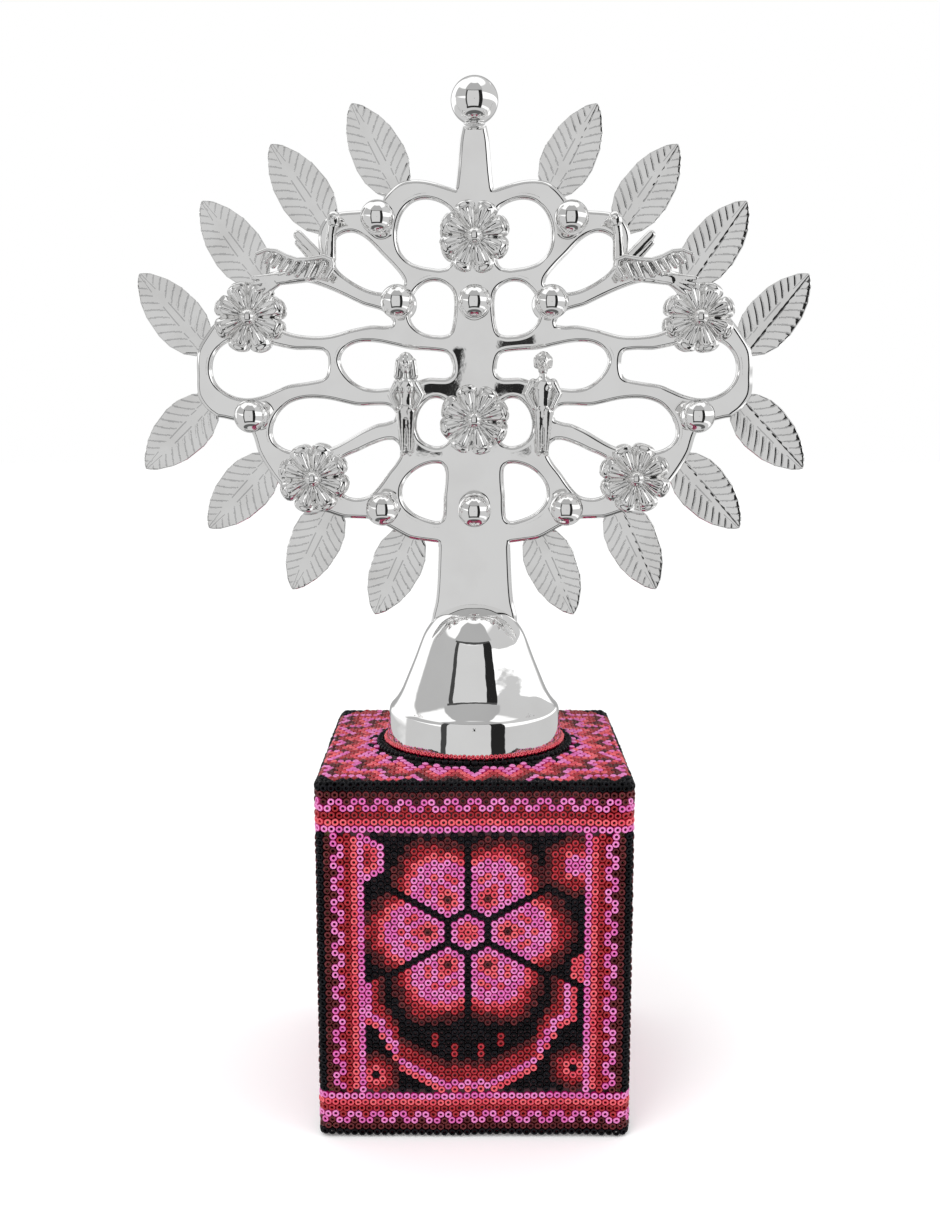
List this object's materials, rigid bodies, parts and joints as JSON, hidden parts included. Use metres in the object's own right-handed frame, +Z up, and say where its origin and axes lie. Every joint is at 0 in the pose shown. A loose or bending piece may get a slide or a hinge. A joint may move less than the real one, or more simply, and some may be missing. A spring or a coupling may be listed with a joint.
{
  "type": "tree of life table ornament",
  "caption": "Flat cut metal tree of life with leaves, flowers, balls, birds and figures, on a bell foot bolted to a bead-covered wooden block.",
  "frame": {"origin": "centre of the felt pad's underside, which is the bottom centre of the whole object", "axes": "+Z up, +X to the right seen from the front, -Y towards the viewer; the tree plate lies in the plane Y = 0"},
  "size_m": [0.1842, 0.084, 0.2825],
  "materials": {
    "silver_plate": "polished silver-coloured metal, soft scratches",
    "beads": "opaque glass seed beads pressed into wax, glossy, black, maroon, red, coral and pink",
    "wood": "plain softwood, sawn",
    "felt": "thin dark felt",
    "steel": "zinc-plated steel"
  },
  "bodies": {
    "root": {"ball_back_arm_left": "silver_plate", "ball_back_arm_right": "silver_plate", "ball_back_base_left": "silver_plate", "ball_back_base_middle": "silver_plate", "ball_back_base_right": "silver_plate", "ball_back_crown_left": "silver_plate", "ball_back_crown_middle": "silver_plate", "ball_back_crown_right": "silver_plate", "ball_back_spire_left": "silver_plate", "ball_back_spire_right": "silver_plate", "ball_front_arm_left": "silver_plate", "ball_front_arm_right": "silver_plate", "ball_front_base_left": "silver_plate", "ball_front_base_middle": "silver_plate", "ball_front_base_right": "silver_plate", "ball_front_crown_left": "silver_plate", "ball_front_crown_middle": "silver_plate", "ball_front_crown_right": "silver_plate", "ball_front_spire_left": "silver_plate", "ball_front_spire_right": "silver_plate", "bead_coat": "beads", "bird_left": "silver_plate", "bird_right": "silver_plate", "felt_pad": "felt", "figure_man": "silver_plate", "figure_woman": "silver_plate", "finial_ball": "silver_plate", "fixing_bolt": "steel", "flower_back_heart": "silver_plate", "flower_back_low_left": "silver_plate", "flower_back_low_right": "silver_plate", "flower_back_shoulder_left": "silver_plate", "flower_back_shoulder_right": "silver_plate", "flower_back_top": "silver_plate", "flower_front_heart": "silver_plate", "flower_front_low_left": "silver_plate", "flower_front_low_right": "silver_plate", "flower_front_shoulder_left": "silver_plate", "flower_front_shoulder_right": "silver_plate", "flower_front_top": "silver_plate", "foot_bell": "silver_plate", "foot_plate": "steel", "leaf_left_1": "silver_plate", "leaf_left_2": "silver_plate", "leaf_left_3": "silver_plate", "leaf_left_4": "silver_plate", "leaf_left_5": "silver_plate", "leaf_left_6": "silver_plate", "leaf_left_7": "silver_plate", "leaf_left_8": "silver_plate", "leaf_right_1": "silver_plate", "leaf_right_2": "silver_plate", "leaf_right_3": "silver_plate", "leaf_right_4": "silver_plate", "leaf_right_5": "silver_plate", "leaf_right_6": "silver_plate", "leaf_right_7": "silver_plate", "leaf_right_8": "silver_plate", "tree_plate": "silver_plate", "wooden_block": "wood"}
  },
  "joints": []
}
